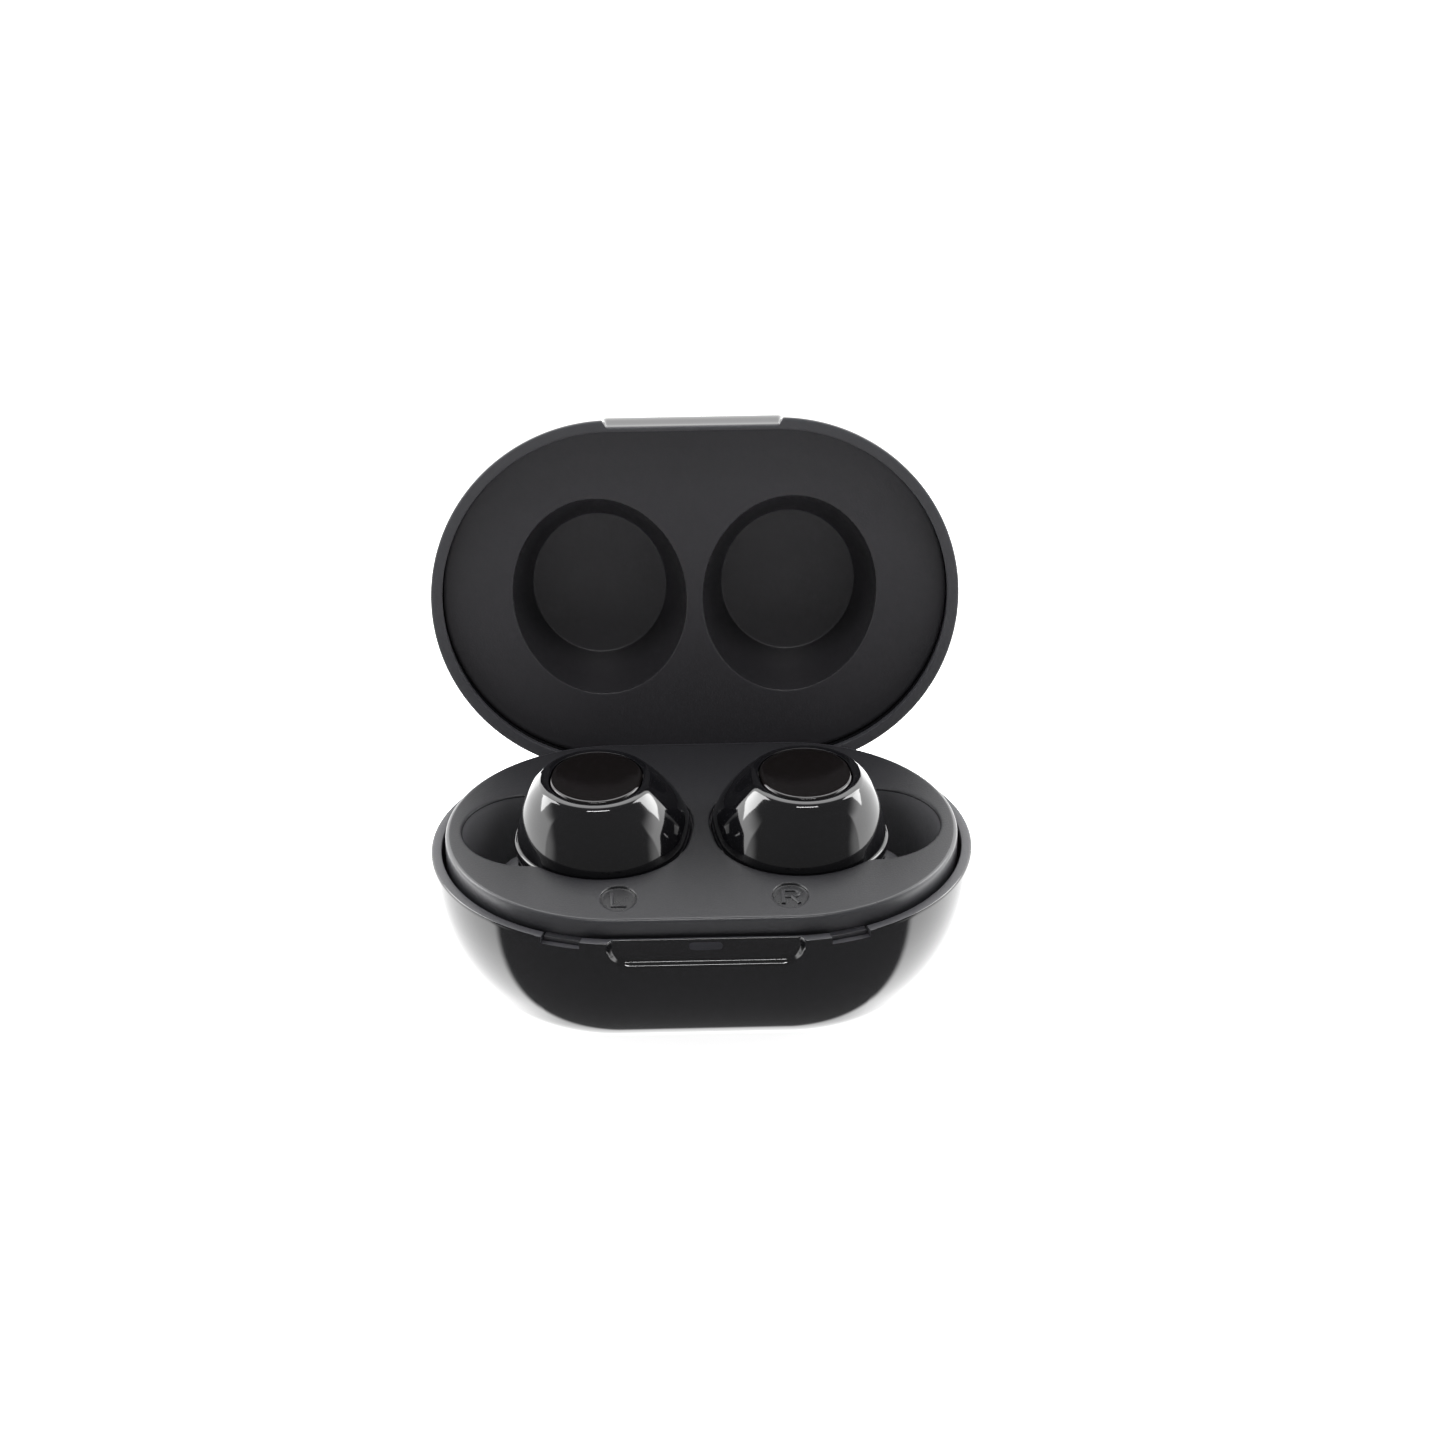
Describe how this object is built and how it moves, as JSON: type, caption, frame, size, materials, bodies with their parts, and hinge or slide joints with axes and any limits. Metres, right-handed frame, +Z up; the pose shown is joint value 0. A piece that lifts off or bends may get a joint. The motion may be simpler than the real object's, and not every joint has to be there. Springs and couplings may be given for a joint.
{
  "type": "wireless earbuds case",
  "caption": "Stadium-shaped charging case with a hinged domed lid, open, holding two removable earbuds in a raised tray.",
  "frame": {"origin": "centre of the flat foot that the case stands on", "axes": "+X to the right, +Y to the hinge at the back, +Z up; the lid is at its open stop"},
  "size_m": [0.07, 0.0691, 0.0638],
  "materials": {
    "shell_gloss": "high-gloss black moulded polycarbonate",
    "bud_gloss": "high-gloss black moulded polycarbonate",
    "panel_gloss": "polished black push panel",
    "tray_satin": "satin dark grey moulded ABS, fine spark texture",
    "liner_satin": "satin charcoal moulded ABS, fine spark texture",
    "window_clear": "smoked clear light window",
    "led_resin": "clear cast resin",
    "cell_foil": "pouch foil",
    "foam": "closed-cell foam",
    "board_green": "solder mask on glass epoxy",
    "chip_black": "moulded black plastic",
    "port_steel": "drawn stainless steel",
    "screw_steel": "machined steel",
    "hinge_steel": "stamped steel",
    "pin_steel": "polished steel",
    "magnet_nickel": "nickel-plated magnet",
    "gold_contact": "gold-plated contact",
    "tip_silicone": "soft black silicone",
    "screen_steel": "woven steel mesh"
  },
  "bodies": {
    "base": {"base_shell": "shell_gloss", "base_tray": "tray_satin", "light_pipe": "window_clear", "status_led": "led_resin", "battery": "cell_foil", "battery_pad": "foam", "main_board": "board_green", "power_chip": "chip_black", "usb_receptacle": "port_steel", "usb_tongue": "chip_black", "left_contact_block": "chip_black", "right_contact_block": "chip_black", "left_seat_magnet": "magnet_nickel", "right_seat_magnet": "magnet_nickel", "left_latch_magnet": "magnet_nickel", "right_latch_magnet": "magnet_nickel", "hall_sensor": "chip_black", "board_screws": "screw_steel", "hinge_cradle": "hinge_steel", "hinge_pin": "pin_steel", "hinge_spring": "pin_steel"},
    "lid": {"lid_shell": "shell_gloss", "lid_liner": "liner_satin", "lid_hinge_leaf": "hinge_steel", "left_lid_magnet": "magnet_nickel", "right_lid_magnet": "magnet_nickel", "lid_sense_magnet": "magnet_nickel"},
    "left_bud": {"left_bud_cover": "bud_gloss", "left_bud_shell": "bud_gloss", "left_ear_tip": "tip_silicone", "left_nozzle_screen": "screen_steel", "left_driver": "magnet_nickel", "left_cell": "port_steel", "left_bud_board": "board_green", "left_bud_switch": "screw_steel", "left_microphone": "gold_contact", "left_bud_magnet": "magnet_nickel", "left_charge_pads": "gold_contact"},
    "left_button": {"left_bud_button": "panel_gloss"},
    "right_bud": {"right_bud_cover": "bud_gloss", "right_bud_shell": "bud_gloss", "right_ear_tip": "tip_silicone", "right_nozzle_screen": "screen_steel", "right_driver": "magnet_nickel", "right_cell": "port_steel", "right_bud_board": "board_green", "right_bud_switch": "screw_steel", "right_microphone": "gold_contact", "right_bud_magnet": "magnet_nickel", "right_charge_pads": "gold_contact"},
    "right_button": {"right_bud_button": "panel_gloss"},
    "left_front_pin": {"left_front_pin": "gold_contact"},
    "left_rear_pin": {"left_rear_pin": "gold_contact"},
    "right_front_pin": {"right_front_pin": "gold_contact"},
    "right_rear_pin": {"right_rear_pin": "gold_contact"}
  },
  "joints": [
    {"name": "lid_hinge", "type": "hinge", "parent": "base", "child": "lid", "pos_m": [0, 0.0228, 0.0189], "axis": [-1, 0, 0], "range_deg": [-104, 0]},
    {"name": "left_bud_lift", "type": "slide", "parent": "base", "child": "left_bud", "axis": [0, 0, 1], "range_m": [0, 0.03]},
    {"name": "right_bud_lift", "type": "slide", "parent": "base", "child": "right_bud", "axis": [0, 0, 1], "range_m": [0, 0.03]},
    {"name": "left_button_press", "type": "slide", "parent": "left_bud", "child": "left_button", "axis": [0, 0, 1], "range_m": [-0.0003, 0], "stiffness_N_per_m": 1500, "springref_m": 0.0002},
    {"name": "right_button_press", "type": "slide", "parent": "right_bud", "child": "right_button", "axis": [0, 0, 1], "range_m": [-0.0003, 0], "stiffness_N_per_m": 1500, "springref_m": 0.0002},
    {"name": "left_front_pin_travel", "type": "slide", "parent": "base", "child": "left_front_pin", "axis": [0, 0, 1], "range_m": [-0.0006, 0], "stiffness_N_per_m": 300, "springref_m": 0.0004},
    {"name": "left_rear_pin_travel", "type": "slide", "parent": "base", "child": "left_rear_pin", "axis": [0, 0, 1], "range_m": [-0.0006, 0], "stiffness_N_per_m": 300, "springref_m": 0.0004},
    {"name": "right_front_pin_travel", "type": "slide", "parent": "base", "child": "right_front_pin", "axis": [0, 0, 1], "range_m": [-0.0006, 0], "stiffness_N_per_m": 300, "springref_m": 0.0004},
    {"name": "right_rear_pin_travel", "type": "slide", "parent": "base", "child": "right_rear_pin", "axis": [0, 0, 1], "range_m": [-0.0006, 0], "stiffness_N_per_m": 300, "springref_m": 0.0004}
  ]
}
